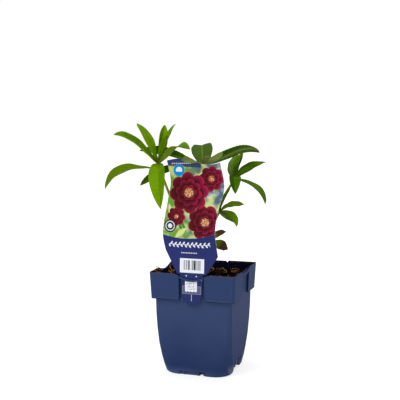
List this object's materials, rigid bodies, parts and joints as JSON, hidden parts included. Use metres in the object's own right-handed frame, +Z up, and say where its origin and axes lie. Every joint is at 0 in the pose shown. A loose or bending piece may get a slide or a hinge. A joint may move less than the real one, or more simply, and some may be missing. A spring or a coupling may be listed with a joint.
{
  "type": "potted hellebore plant",
  "caption": "Young hellebore with fans of toothed, arching leaflets on long stalks, in a square tapered nursery pot of compost with a tall shaped plant label held at the rim.",
  "frame": {"origin": "centre of the pot's flat underside", "axes": "+Z up through the plant, -Y towards the side of the pot that carries the label, +X to that side's right"},
  "size_m": [0.1345, 0.1507, 0.256],
  "materials": {
    "pot_plastic": "semi-matt moulded polypropylene, blue",
    "compost": "damp dark compost with bark and fibres",
    "label_card": null,
    "leaf": "satin leathery leaf, mid green",
    "old_leaf": "satin leathery leaf, browned at its ends"
  },
  "bodies": {
    "root": {"pot": "pot_plastic", "soil": "compost", "label": "label_card", "leaf_left": "leaf", "leaf_middle": "leaf", "leaf_right": "leaf", "leaf_low": "leaf", "leaf_old": "old_leaf"}
  },
  "joints": []
}
